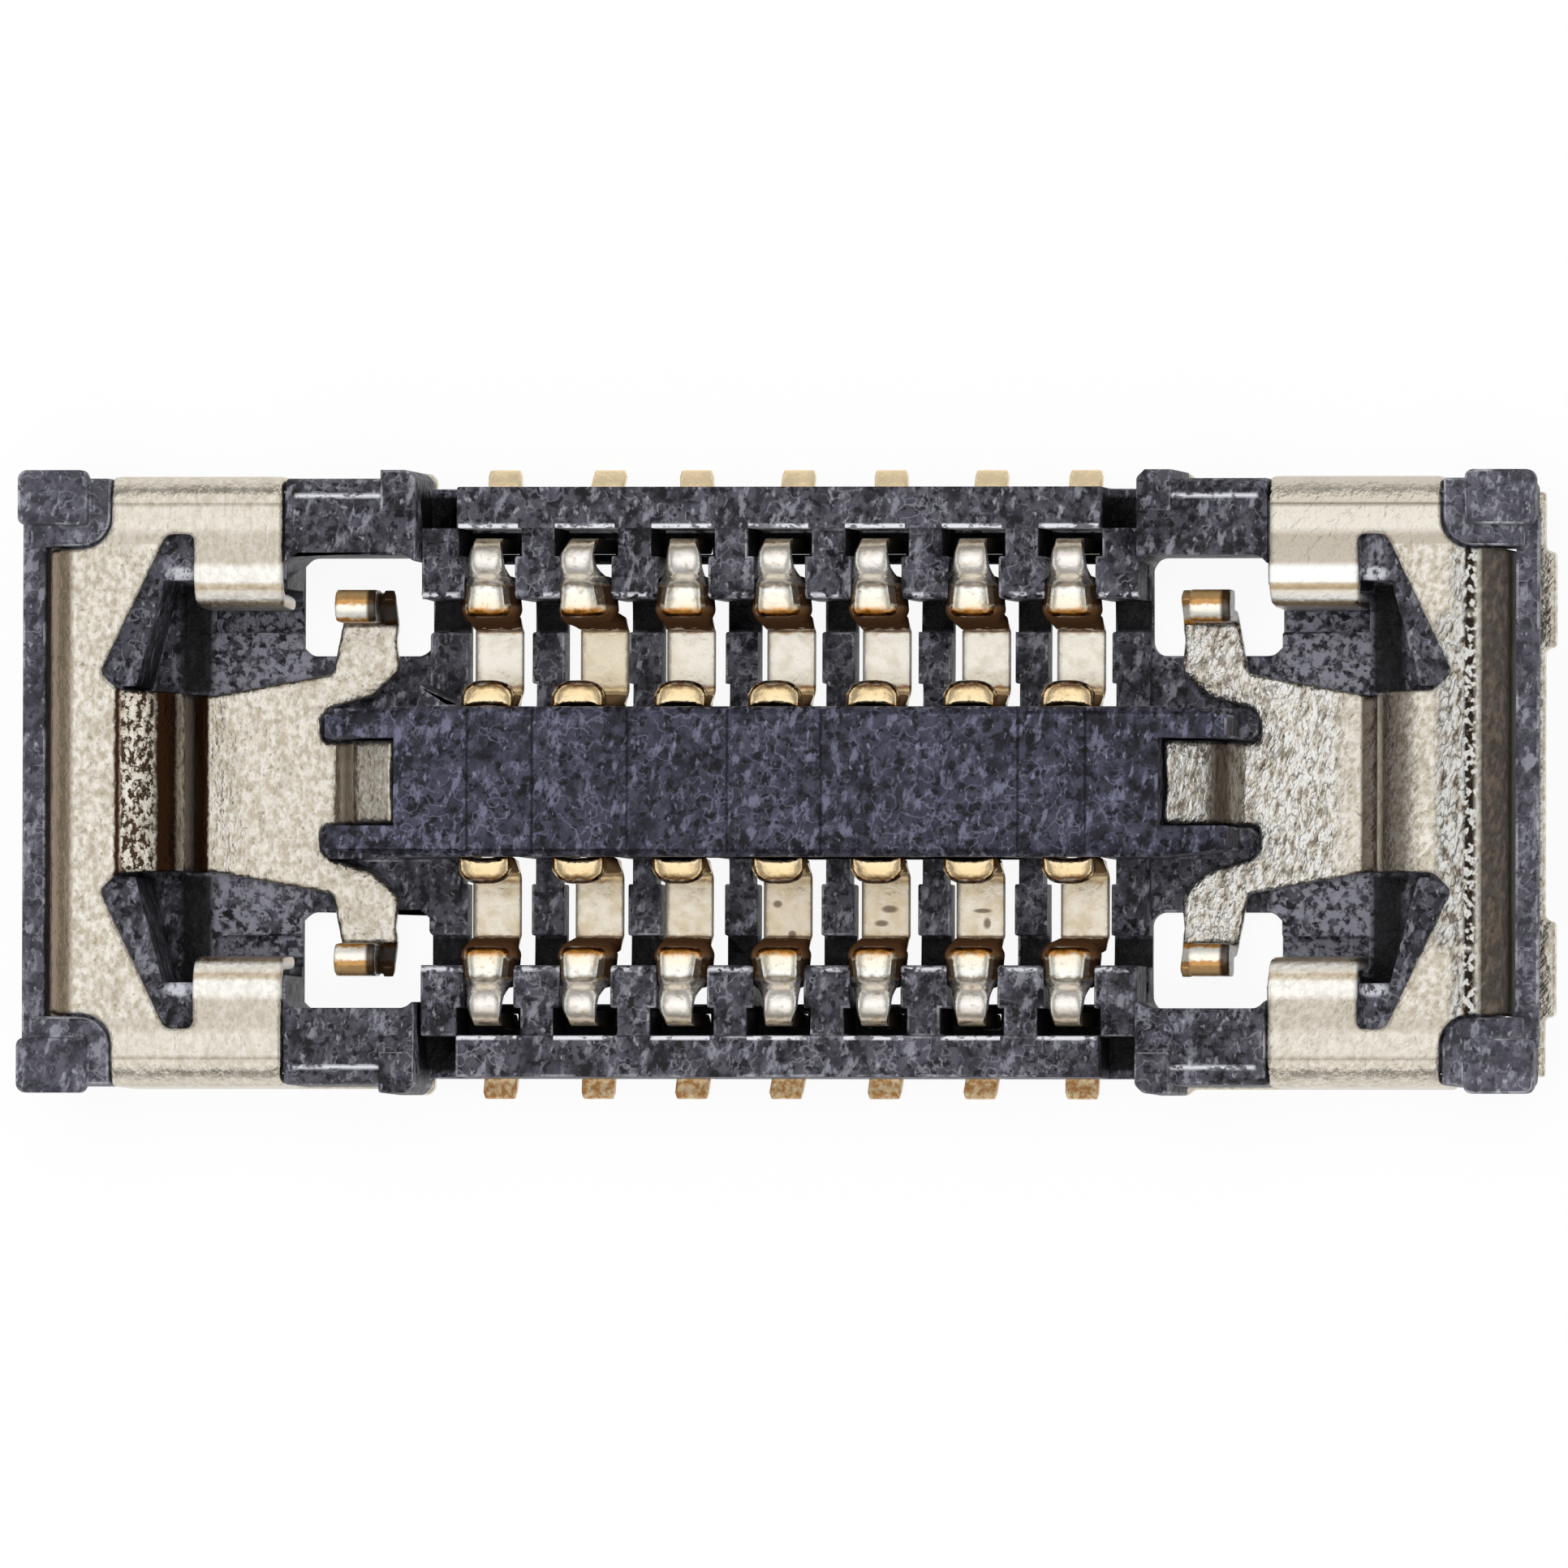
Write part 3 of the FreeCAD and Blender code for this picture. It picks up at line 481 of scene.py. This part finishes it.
    # The fold over the wall is glossy. The rolled hem is dull, and so is the outer end bend of a wrinkled plate.
    fold = between(tree, y, 1.006, 1.050, 0.004)
    satin = add(tree, RAMP, peel, stops=[(0.3, 0.26), (0.7, 0.40)])
    rough = add(tree, "SUBTRACT", satin, add(tree, "MULTIPLY", fold, 0.20))
    height = add(tree, "ADD", peel, add(tree, "MULTIPLY", coarse, 2.2), add(tree, "MULTIPLY", lines, 0.25),
                 add(tree, "MULTIPLY", add(tree, "MAXIMUM", deep, inner), wrinkled, foil * 2.0))
    roll = add(tree, "MULTIPLY", between(tree, y, 0.650, 0.780, 0.01), between(tree, x, 1.70, 2.20), 0.75)
    shine = add(tree, "SUBTRACT", 1, add(tree, "MAXIMUM", roll, add(tree, "MULTIPLY", rim, foil)))
    dress(tree, shader, tone, rough, height, depth_mm, shine)
    return finish


# How far the borders of the gold wander across the row, in all.
WANDER = 0.03
# Stains on the floors of the springs: X, Y and the half sizes.
STAINS = (((0.006, -0.539), (0.018, 0.016)), ((-0.047, -0.431), (0.020, 0.016)), ((0.359, -0.449), (0.036, 0.016)),
          ((0.330, -0.500), (0.030, 0.014)), ((0.695, -0.455), (0.040, 0.010)), ((0.712, -0.500), (0.016, 0.024)))
# Levels on a contact: its floor and tail lie under FLOOR_TOP, its crests rise over FLANK_TOP.
FLOOR_TOP = 0.13
FLANK_TOP = 0.455


def gold():
    """Copper-alloy spring strip: gold at its contact points and tails, bare pale nickel at the neck and floor,
    and painted brown shade on the steep legs."""
    finish, tree, place, shader = new_finish("gold_plated_spring_strip")
    x, across, z = millimetres(tree, place)
    wobble = grain(tree, place, 0.03, 2)
    y = add(tree, "ADD", add(tree, "ABSOLUTE", across),
            add(tree, "MULTIPLY", add(tree, "SUBTRACT", wobble, 0.5), WANDER))
    spots = grain(tree, place, 0.024, 3, roughness=0.6)
    smudge = grain(tree, place, 0.06, 3)
    floor_level = add(tree, "LESS_THAN", z, FLOOR_TOP)
    near = add(tree, "LESS_THAN", across, 0)

    # Painted shade: below the crests the steep flanks are brown, darker under the wings and darkest on the risers in
    # the wall, and the inner arms are brown where they rise from the floor.
    flank = add(tree, "MULTIPLY", between(tree, y, 0.548, 0.705), add(tree, "LESS_THAN", z, FLANK_TOP),
                add(tree, "GREATER_THAN", z, 0.115))
    wing = add(tree, "MULTIPLY", between(tree, y, 0.632, 0.705), add(tree, "LESS_THAN", z, 0.482))
    riser = add(tree, "MULTIPLY", between(tree, y, 0.79, 0.93), between(tree, z, 0.030, 0.42, 0.010))
    arc = add(tree, "MULTIPLY", add(tree, "LESS_THAN", y, 0.40), between(tree, z, 0.14, 0.40))

    # The floors are smudged, tan on the near row and at one end, and stained in places.
    smudges = add(tree, "MULTIPLY", add(tree, RAMP, smudge, stops=[(0.50, 0.0), (0.66, 0.40)]), floor_level)
    tan_floor = add(tree, "MULTIPLY", spot(tree, x, across, (-0.680, 0.430), (0.30, 0.40)), floor_level, 0.5)
    stained = add(tree, "MULTIPLY", spot(tree, x, across, (0.15, -0.44), (0.42, 0.42)), floor_level, 0.25)
    near_floor = add(tree, "MULTIPLY", near, floor_level,
                     add(tree, RAMP, smudge, stops=[(0.35, 0.25), (0.65, 0.6)]))
    near_tail = add(tree, "MULTIPLY", near, add(tree, "GREATER_THAN", y, 0.98),
                    add(tree, RAMP, spots, stops=[(0.42, 1.0), (0.60, 0.2)]))
    specks = add(tree, "MULTIPLY", add(tree, RAMP, spots, stops=[(0.56, 0.0), (0.72, 0.5)]),
                 add(tree, "GREATER_THAN", z, 0.44))

    # Across the row the strip is gold at its crests and tail and pale nickel between. The near-white stops on the
    # crests are painted highlights; the brown stops at their edges, the grey-brown one in the dip of the neck and the
    # grey one at the top of the riser are painted shade.
    tone = add(tree, RAMP, y, stops=[
        (0.270, "#D79E58"), (0.285, "#FFE8BE"), (0.328, "#FFE2AE"), (0.348, "#7A4C1C"), (0.362, "#EAE2D0"),
        (0.420, "#FAF4E8"), (0.535, "#FBF5E8"), (0.552, "#9C6C34"), (0.575, "#6E4318"), (0.603, "#8A5518"),
        (0.612, "#EFA54E"), (0.628, "#FFF3DA"), (0.690, "#FFFFF8"), (0.703, "#8F8474"), (0.735, "#EFE9DF"),
        (0.800, "#FFFBF4"), (0.840, "#C4BAAC"), (0.900, "#FFE4B4"), (1.0, "#FFE7BC")])
    for share, colour in (
            (add(tree, "MULTIPLY", flank, 0.95), "#634630"),
            (add(tree, "MULTIPLY", wing, 0.95), "#302014"),
            (add(tree, "MULTIPLY", riser, 0.95), "#0E0A08"),
            (add(tree, "MULTIPLY", arc, 0.8), "#6B4318"),
            (specks, "#B08A52"),
            (smudges, "#D8CBAE"),
            (tan_floor, "#E2CDA4"),
            (stained, "#A8895C"),
            (near_floor, "#D6C29C"),
            (near_tail, "#B4824A"),
            *((add(tree, "MULTIPLY", spot(tree, x, across, middle, reach), floor_level, 0.8), "#59402A")
              for middle, reach in STAINS)):
        tone = add(tree, MIX, {0: share, 6: tone, 7: colour}, out=2, data_type="RGBA")

    # The inner crests are polished. The steep legs are matt, the floors and tails half so.
    crest = add(tree, "LESS_THAN", y, 0.345)
    satin = add(tree, RAMP, wobble, stops=[(0.3, 0.22), (0.7, 0.34)])
    rough = add(tree, "SUBTRACT", satin, add(tree, "MULTIPLY", crest, 0.12))
    height = add(tree, "ADD", spots, add(tree, "MULTIPLY", wobble, 1.5))
    matt = add(tree, "MAXIMUM", flank, wing, arc, riser, add(tree, "MULTIPLY", floor_level, 0.5))
    dress(tree, shader, tone, rough, height, 0.0015, add(tree, "SUBTRACT", 1, matt))
    return finish


def finger_gold():
    """Gold plate on the fittings' spring fingers, polished by the press."""
    finish, tree, place, shader = new_finish("gold_plated_finger")
    x, across, _ = millimetres(tree, place)
    patches = grain(tree, place, 0.02, 3)
    y = add(tree, "ADD", add(tree, "ABSOLUTE", across),
            add(tree, "MULTIPLY", add(tree, "SUBTRACT", patches, 0.5), WANDER))
    # Across the finger the gold has a near-white band that is a painted highlight, and brown at its inner edge that
    # is painted shade.
    tone = add(tree, RAMP, y, stops=[
        (0.572, "#7A4A1C"), (0.586, "#E0A24E"), (0.596, "#FFFCF2"), (0.634, "#FFF8E8"), (0.642, "#C98F48"),
        (0.680, "#EAC48A"), (0.700, "#B8844A")])
    # One flank of each finger is painted dark brown, as shade.
    flank = add(tree, "MAXIMUM", between(tree, x, -1.503, -1.380), between(tree, x, 1.587, 1.700))
    tone = add(tree, MIX, {0: add(tree, "MULTIPLY", flank, 0.92), 6: tone, 7: "#2A170A"}, out=2, data_type="RGBA")
    shader.inputs["Metallic"].default_value = 0.45
    dress(tree, shader, tone, add(tree, RAMP, patches, stops=[(0.3, 0.20), (0.7, 0.34)]), patches, 0.001)
    return finish


# ---------------------------------------------------------------- housing

# Upright edges that have their own round: those of the corner posts and end walls, and of the windows. Each row is
# X from and to, Y from and to. An upright edge's ends are within PLUMB of each other in plan, and one shorter than
# UPRIGHT stays for the small round.
POST_EDGES = ((2.48, 2.50, 1.10, 1.13), (2.74, 2.75, 0.91, 0.93), (2.69, 2.71, 1.08, 1.10))
WINDOW_EDGES = ((1.28, 1.76, 0.44, 0.83),)
UPRIGHT = 0.06
PLUMB = 1e-3


def stands_at(piece, edge, places):
    """The edge is upright, and in one of the places on any quarter of the piece."""
    a, b = (piece.data.vertices[i].co for i in edge.vertices)
    return (a - b).xy.length < PLUMB and (a - b).length > UPRIGHT and any(
        x_low < abs(a.x) < x_high and y_low < abs(a.y) < y_high for x_low, x_high, y_low, y_high in places)


housing = merged_node("housing", "housing_moulding", plastic("black_lcp_moulded", False),
                      plastic("black_lcp_painted_edge_highlight", True))
for places, radius, steps in ((POST_EDGES, 0.028, 4), (WINDOW_EDGES, 0.018, 3)):
    choose(housing, "edges", lambda e: stands_at(housing, e, places))
    bpy.ops.mesh.bevel(offset_type="OFFSET", offset=radius, segments=steps)
    deselect_all()

# The melt runs in close round each riser, closer than the drawing's clearance: the hole's drawn half width and the
# Y of its two walls, and those that it gets. The pockets' corners lie over POCKET_Y.
HOLE_HALF, CLOSE_HALF = 0.068, 0.061
HOLE_WALLS = ((0.817, 0.8245), (0.883, 0.8755))
POCKET_Y = 0.80
SAME = 0.002
for corner in housing.data.vertices:
    x, y = corner.co.xy
    middle = round((x + ROW_HALF) / PITCH) * PITCH - ROW_HALF
    if abs(middle) < ROW_HALF + SAME and abs(y) > POCKET_Y and abs(abs(x - middle) - HOLE_HALF) < SAME:
        corner.co.x = middle + math.copysign(CLOSE_HALF, x - middle)
        for wall, closer in HOLE_WALLS:
            if abs(abs(y) - wall) < SAME:
                corner.co.y = math.copysign(closer, y)
soften(housing, width=0.009, angle=40, segments=3, edge_slot=1)
finished(housing, "housing")


# ---------------------------------------------------------------- end fittings

# The fittings are drawn again on a grid of this size and smoothed, which rounds their folds as the press does.
VOXEL = 0.011
# The gold lies on the fingers: within this X, between these two Y, and over this level.
FINGER_X = 1.66
FINGER_Y = (0.572, 0.70)
FINGER_Z = 0.12

plated = finger_gold()
for node, strip in (
        ("end_fitting_left", nickel("champagne_nickel_strip", 0.0045, 0.0, LEFT_FOLDS, "#8A7A66", 0.0)),
        ("end_fitting_right", nickel("champagne_nickel_strip_wrinkled", 0.0057, 0.7, RIGHT_FOLDS, "#2E2622", 1.0))):
    fitting = merged_node(node, node + "_strip", strip, plated)
    modify(fitting, "REMESH", mode="VOXEL", voxel_size=VOXEL)
    modify(fitting, "SMOOTH", factor=0.5, iterations=3)
    for face in fitting.data.polygons:
        x, y, z = (abs(v) for v in face.center)
        on_finger = x < FINGER_X and FINGER_Y[0] < y < FINGER_Y[1] and z > FINGER_Z
        face.material_index = int(on_finger)
    pick(fitting)
    bpy.ops.object.shade_smooth()
    finished(fitting, node)


# ---------------------------------------------------------------- contacts

# One contact of the far row, from its tail: place across the row, height, bend radius, half width of its flat crest,
# half width of its wings and how far their edges hang.
STATIONS = [
    (1.130, 0.025, 0.000, 0.045, 0.060, 0.000),
    (0.850, 0.025, 0.028, 0.045, 0.060, 0.000),
    (0.850, 0.250, 0.000, 0.045, 0.060, 0.000),
    (0.850, 0.475, 0.045, 0.034, 0.043, 0.000),
    (0.775, 0.475, 0.000, 0.034, 0.047, 0.020),
    (0.735, 0.440, 0.012, 0.038, 0.060, 0.040),
    (0.702, 0.475, 0.012, 0.046, 0.082, 0.110),
    (0.618, 0.475, 0.016, 0.058, 0.088, 0.120),
    (0.600, 0.380, 0.020, 0.054, 0.082, 0.050),
    (0.570, 0.085, 0.030, 0.064, 0.0810, 0.006),
    (0.295, 0.085, 0.045, 0.064, 0.0810, 0.006),
    (0.295, 0.325, 0.015, 0.048, 0.0675, 0.000),
    (0.350, 0.440, 0.018, 0.058, 0.0780, 0.006),
    (0.274, 0.452, 0.000, 0.058, 0.0780, 0.006),
]
COLUMNS = 6
# The share of the strip's half width that the flat crest takes.
CREST_SHARE = 0.66
# The inner crest lies within INNER_Y and over INNER_Z. Its middle is crowned and its corners are drawn back.
INNER_Y = 0.37
INNER_Z = 0.31
CROWN = 0.012
CORNERS_BACK = 0.034
# Points closer than this are at the same fold.
AT_FOLD = 1e-4


def section_at(y, z):
    """Crest, wing and hang of the strip at the place on its path that is nearest."""
    best = None
    for a, b in zip(STATIONS, STATIONS[1:]):
        run = Vector((b[0] - a[0], b[1] - a[1]))
        share = min(1, max(0, run.dot(Vector((y - a[0], z - a[1]))) / run.length_squared))
        gap = (Vector((a[0], a[1])) + run * share - Vector((y, z))).length
        if best is None or gap < best[0]:
            best = gap, [p + (q - p) * share for p, q in zip(a[3:], b[3:])]
    return best[1]


def pressed_strip(name):
    """A strip drawn fold by fold from its tail, bent, pressed to its widths, and given its thickness."""
    (y0, z0), (y1, _) = (station[:2] for station in STATIONS[:2])
    middle = (0, (y0 + y1) / 2, z0)
    bpy.ops.mesh.primitive_grid_add(x_subdivisions=COLUMNS, y_subdivisions=1, size=1, location=middle)
    strip = bpy.context.object
    strip.name = strip.data.name = name
    bpy.ops.object.mode_set(mode="EDIT")
    bpy.ops.transform.resize(value=(2, y0 - y1, 1), center_override=middle)
    deselect_all()
    pick(strip)
    bpy.ops.object.transform_apply(location=True)
    choose(strip, "edges", lambda e: all(strip.data.vertices[i].co.y < y1 + 0.01 for i in e.vertices))
    for a, b in zip(STATIONS[1:], STATIONS[2:]):
        bpy.ops.mesh.extrude_region_move(TRANSFORM_OT_translate={"value": (0, b[0] - a[0], b[1] - a[1])})
    deselect_all()
    for before, (y, z, bend, *_), after in zip(STATIONS, STATIONS[1:], STATIONS[2:]):
        if bend:
            run_in = Vector((y - before[0], z - before[1])).normalized()
            run_out = Vector((after[0] - y, after[1] - z)).normalized()
            fold = Vector((0, y, z))
            choose(strip, "edges", lambda e: all(
                (Vector((0, *strip.data.vertices[i].co.yz)) - fold).length < AT_FOLD for i in e.vertices))
            bpy.ops.mesh.bevel(offset_type="OFFSET", offset=bend * math.tan(run_in.angle(run_out) / 2), segments=4)
    deselect_all()
    for vertex in strip.data.vertices:
        u, y, z = vertex.co
        crest, wing, hang = section_at(y, z)
        out = max(0, (abs(u) - CREST_SHARE) / (1 - CREST_SHARE))
        vertex.co.x = math.copysign(crest * min(1, abs(u) / CREST_SHARE) + (wing - crest) * out, u)
        vertex.co.z -= hang * out
        if y < INNER_Y and z > INNER_Z:
            vertex.co.y -= CORNERS_BACK * u ** 4
            vertex.co.z -= CROWN * u ** 2
    modify(strip, "SOLIDIFY", thickness=SHEET, offset=0, use_even_offset=True,
           edge_crease_inner=0.55, edge_crease_outer=0.55, edge_crease_rim=0.3)
    choose(strip, "polygons", lambda f: True)
    bpy.ops.mesh.normals_make_consistent(inside=False)
    deselect_all()
    modify(strip, "SUBSURF", levels=1, render_levels=1)
    pick(strip)
    bpy.ops.object.shade_smooth()
    return strip


# How far each contact's neck, floor, inner crest and tail sit from the pitch, along the row.
OFFSETS = {
    "a": ((-0.006, -0.008, -0.005, 0.000), (-0.027, 0.024, -0.026, 0.030), (0.011, -0.013, -0.005, -0.006),
          (-0.010, 0.000, -0.016, 0.015), (-0.012, -0.004, -0.010, 0.000), (-0.002, 0.006, -0.010, 0.015),
          (0.000, 0.000, -0.006, 0.006)),
    "b": ((-0.006, -0.014, -0.014, -0.012), (-0.012, 0.008, -0.023, -0.006), (-0.012, -0.018, -0.011, -0.017),
          (0.015, -0.010, 0.001, -0.025), (0.002, -0.005, 0.008, -0.019), (0.005, -0.012, -0.007, -0.022),
          (-0.002, 0.016, -0.001, -0.003)),
}


# A spring's shifts pass into one another over these stretches: from the neck to the wings, which are wider, from
# the floor up to the crests, and then across the row from the wall on and out to the tail.
NECK_TO_WING = (0.060, 0.085)
FLOOR_TO_CREST = (0.12, 0.36)
WALL = (0.80, 0.90)
TAIL = (0.99, 1.04)
# Y between the outer leg, which carries the neck, and the inner one.
BETWEEN_LEGS = 0.5


def ease(value, low, high):
    """0 below the low limit, 1 above the high one, and smooth between them."""
    share = min(1, max(0, (value - low) / (high - low)))
    return share * share * (3 - 2 * share)


contact = pressed_strip("contact_strip")
contact.data.materials.append(gold())
for row, side in (("a", 1), ("b", -1)):
    for i, (neck, foot, crest, tail) in enumerate(OFFSETS[row]):
        node = "contact_%s%d" % (row, i + 1)
        spring = copy_of(contact, node + "_spring")
        for vertex in spring.data.vertices:
            x, y, z = vertex.co
            upper = neck * (1 - ease(abs(x), *NECK_TO_WING)) if y > BETWEEN_LEGS else crest
            shift = foot + (upper - foot) * ease(z, *FLOOR_TO_CREST)
            shift *= 1 - ease(y, *WALL)
            shift += tail * ease(y, *TAIL)
            vertex.co.x += i * PITCH - ROW_HALF + shift
            vertex.co.y *= side
        if side < 0:
            choose(spring, "polygons", lambda f: True)
            bpy.ops.mesh.flip_normals()
            deselect_all()
        finished(spring, node)
bpy.data.objects.remove(contact)


# ---------------------------------------------------------------- floor, light and camera

# How far the board is seen as glowing white. The rest is its own lit and shaded surface. Its side is in metres.
GLOW = 0.92
FLOOR_SIDE = 0.4


def floor_finish():
    """Matt white board. The camera sees it lit from behind, as in the photograph, with the soft shadow kept."""
    finish = bpy.data.materials.new("white_board")
    finish.use_nodes = True
    tree = finish.node_tree
    tree.nodes.clear()
    rays = add(tree, "ShaderNodeLightPath").node.outputs
    seen = add(tree, "MAXIMUM", rays["Is Camera Ray"], rays["Is Glossy Ray"], rays["Is Transmission Ray"])
    board = add(tree, "ShaderNodeBsdfDiffuse", "#F8F8F8")
    glow = add(tree, "ShaderNodeEmission", "#FFFFFF", 1.0)
    both = add(tree, "ShaderNodeMixShader", add(tree, "MULTIPLY", seen, GLOW), board, glow)
    add(tree, "ShaderNodeOutputMaterial", both)
    return finish


deselect_all()
bpy.ops.mesh.primitive_plane_add(size=FLOOR_SIDE, location=(0, 0, 0))
floor = bpy.context.object
floor.name = "floor"
floor.data.materials.append(floor_finish())

# A light tent: bright overhead, dark at the sides, with a bright band low down.
world = bpy.context.scene.world or bpy.data.worlds.new("tent")
bpy.context.scene.world = world
world.use_nodes = True
tent = world.node_tree
tent.nodes.clear()
direction = add(tent, "ShaderNodeTexCoord", out="Generated")
up = add(tent, "ShaderNodeSeparateXYZ", direction, out="Z")
sky = add(tent, RAMP, up, stops=[(0.0, 1.0), (0.20, 1.0), (0.30, 0.45), (0.45, 0.32), (0.62, 0.40), (0.75, 0.70),
                                 (0.86, 1.0), (1.0, 1.1)])
add(tent, "ShaderNodeOutputWorld", add(tent, "ShaderNodeBackground", sky, 1.0))

# The softbox overhead lights the matt surfaces. The tent alone is mirrored in the metal.
sun_data = bpy.data.lights.new("softbox", "SUN")
sun_data.energy = 1.2
sun_data.angle = math.radians(60)
sun = bpy.data.objects.new("softbox", sun_data)
sun.rotation_euler = (math.radians(-6), math.radians(-8), 0)
sun.visible_glossy = False
bpy.context.scene.collection.objects.link(sun)

lens = bpy.data.cameras.new("camera")
lens.sensor_width = 36
lens.lens = lens.sensor_width * LENS_DISTANCE * PIXELS_PER_MM / IMAGE_PIXELS
lens.clip_start = 0.01
lens.clip_end = 1.0
camera = bpy.data.objects.new("camera", lens)
away = Vector((math.tan(LEAN_RIGHT), -math.tan(LEAN_FRONT), 1)).normalized()
camera.location = (AIM + away * LENS_DISTANCE) * MM
upward = Vector((0, away.z, -away.y)).normalized()
rightward = upward.cross(away)
camera.rotation_euler = Matrix((rightward, away.cross(rightward), away)).transposed().to_euler()
bpy.context.scene.collection.objects.link(camera)
bpy.context.scene.camera = camera
bpy.context.scene.view_settings.view_transform = "Standard"
